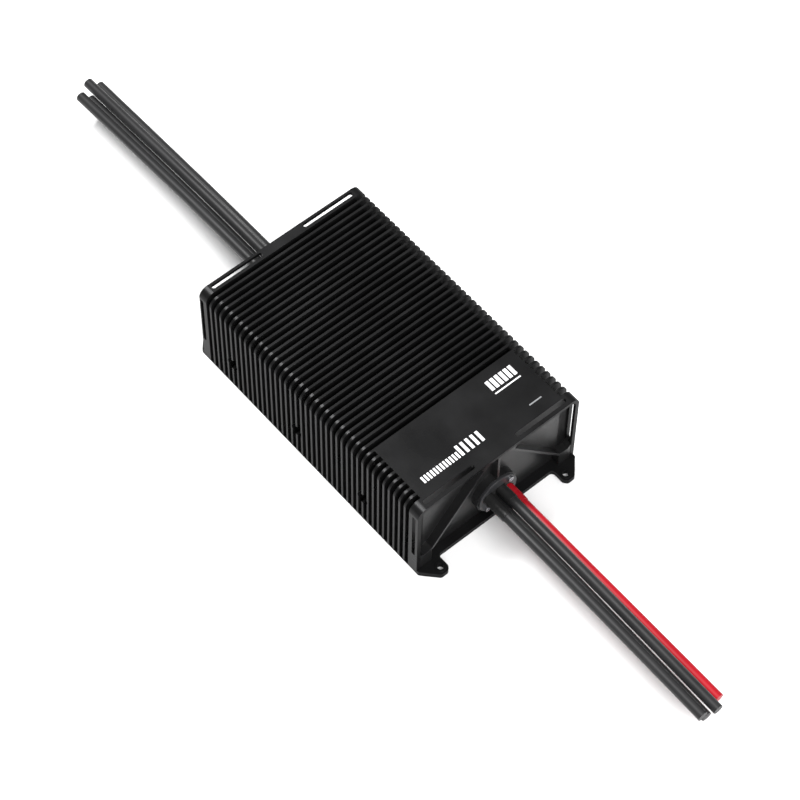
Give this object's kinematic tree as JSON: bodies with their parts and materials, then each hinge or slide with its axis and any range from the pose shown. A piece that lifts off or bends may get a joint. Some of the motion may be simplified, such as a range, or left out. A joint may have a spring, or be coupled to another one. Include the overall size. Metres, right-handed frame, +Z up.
{
  "type": "electronic speed controller",
  "caption": "Finned aluminium motor speed controller on a footed base plate, with cable glands and bundles of cables at both ends.",
  "frame": {"origin": "on the surface that the base stands on, under the middle of the body", "axes": "+X along the body towards the supply end with the red cable, +Y across it, +Z up"},
  "size_m": [0.4746, 0.1, 0.0551],
  "materials": {
    "black_anodised": "fine matt black anodising",
    "base_anodised": "fine matt black anodising",
    "frame_black": "machined, matt black",
    "gland_metal": "machined, satin dark grey",
    "screw_steel": "bright",
    "screw_black": "black oxide",
    "seal_rubber": "matt",
    "cable_black": "soft satin silicone",
    "cable_red": "soft satin silicone",
    "sleeve_black": "shrunk tubing",
    "sleeve_red": "shrunk tubing",
    "mark_print": "thin pale ink",
    "light_pipe": "clear, slightly milky",
    "board_laminate": "green solder mask",
    "chip_black": "moulded epoxy",
    "capacitor_can": "shrunk sleeve over the can",
    "copper": "bare copper bar",
    "shunt_metal": "satin",
    "gap_filler": "soft, dull",
    "terminal_plastic": "glass-filled nylon"
  },
  "bodies": {
    "root": {"heatsink_shell": "black_anodised", "base_plate": "base_anodised", "side_screws": "screw_black", "base_screws": "screw_black", "terminal_block_screws": "screw_black", "label_marks": "mark_print", "status_light": "light_pipe", "power_board": "board_laminate", "control_board": "board_laminate", "power_board_screws": "screw_black", "control_board_screws": "screw_black", "power_transistors": "chip_black", "thermal_pads": "gap_filler", "bulk_capacitors": "capacitor_can", "current_shunts": "shunt_metal", "microcontroller": "chip_black", "gate_drivers": "chip_black", "supply_coil": "chip_black", "board_link_header": "terminal_plastic", "front_end_frame": "frame_black", "front_end_seal": "seal_rubber", "front_gland_plate": "gland_metal", "front_cable_seal": "seal_rubber", "front_gland_screws": "screw_steel", "front_terminal_block": "terminal_plastic", "front_terminal_bars": "copper", "battery_negative_cable": "cable_black", "battery_negative_sleeve": "sleeve_black", "battery_signal_cable": "cable_black", "battery_signal_sleeve": "sleeve_black", "battery_sense_cable": "cable_black", "battery_sense_sleeve": "sleeve_black", "battery_positive_cable": "cable_red", "battery_positive_sleeve": "sleeve_red", "rear_end_frame": "frame_black", "rear_end_seal": "seal_rubber", "rear_gland_plate": "gland_metal", "rear_cable_seal": "seal_rubber", "rear_gland_screws": "screw_steel", "rear_terminal_block": "terminal_plastic", "rear_terminal_bars": "copper", "phase_a_cable": "cable_black", "phase_a_sleeve": "sleeve_black", "phase_b_cable": "cable_black", "phase_b_sleeve": "sleeve_black", "phase_c_cable": "cable_black", "phase_c_sleeve": "sleeve_black", "motor_sensor_cable": "cable_black", "motor_sensor_sleeve": "sleeve_black"}
  },
  "joints": []
}
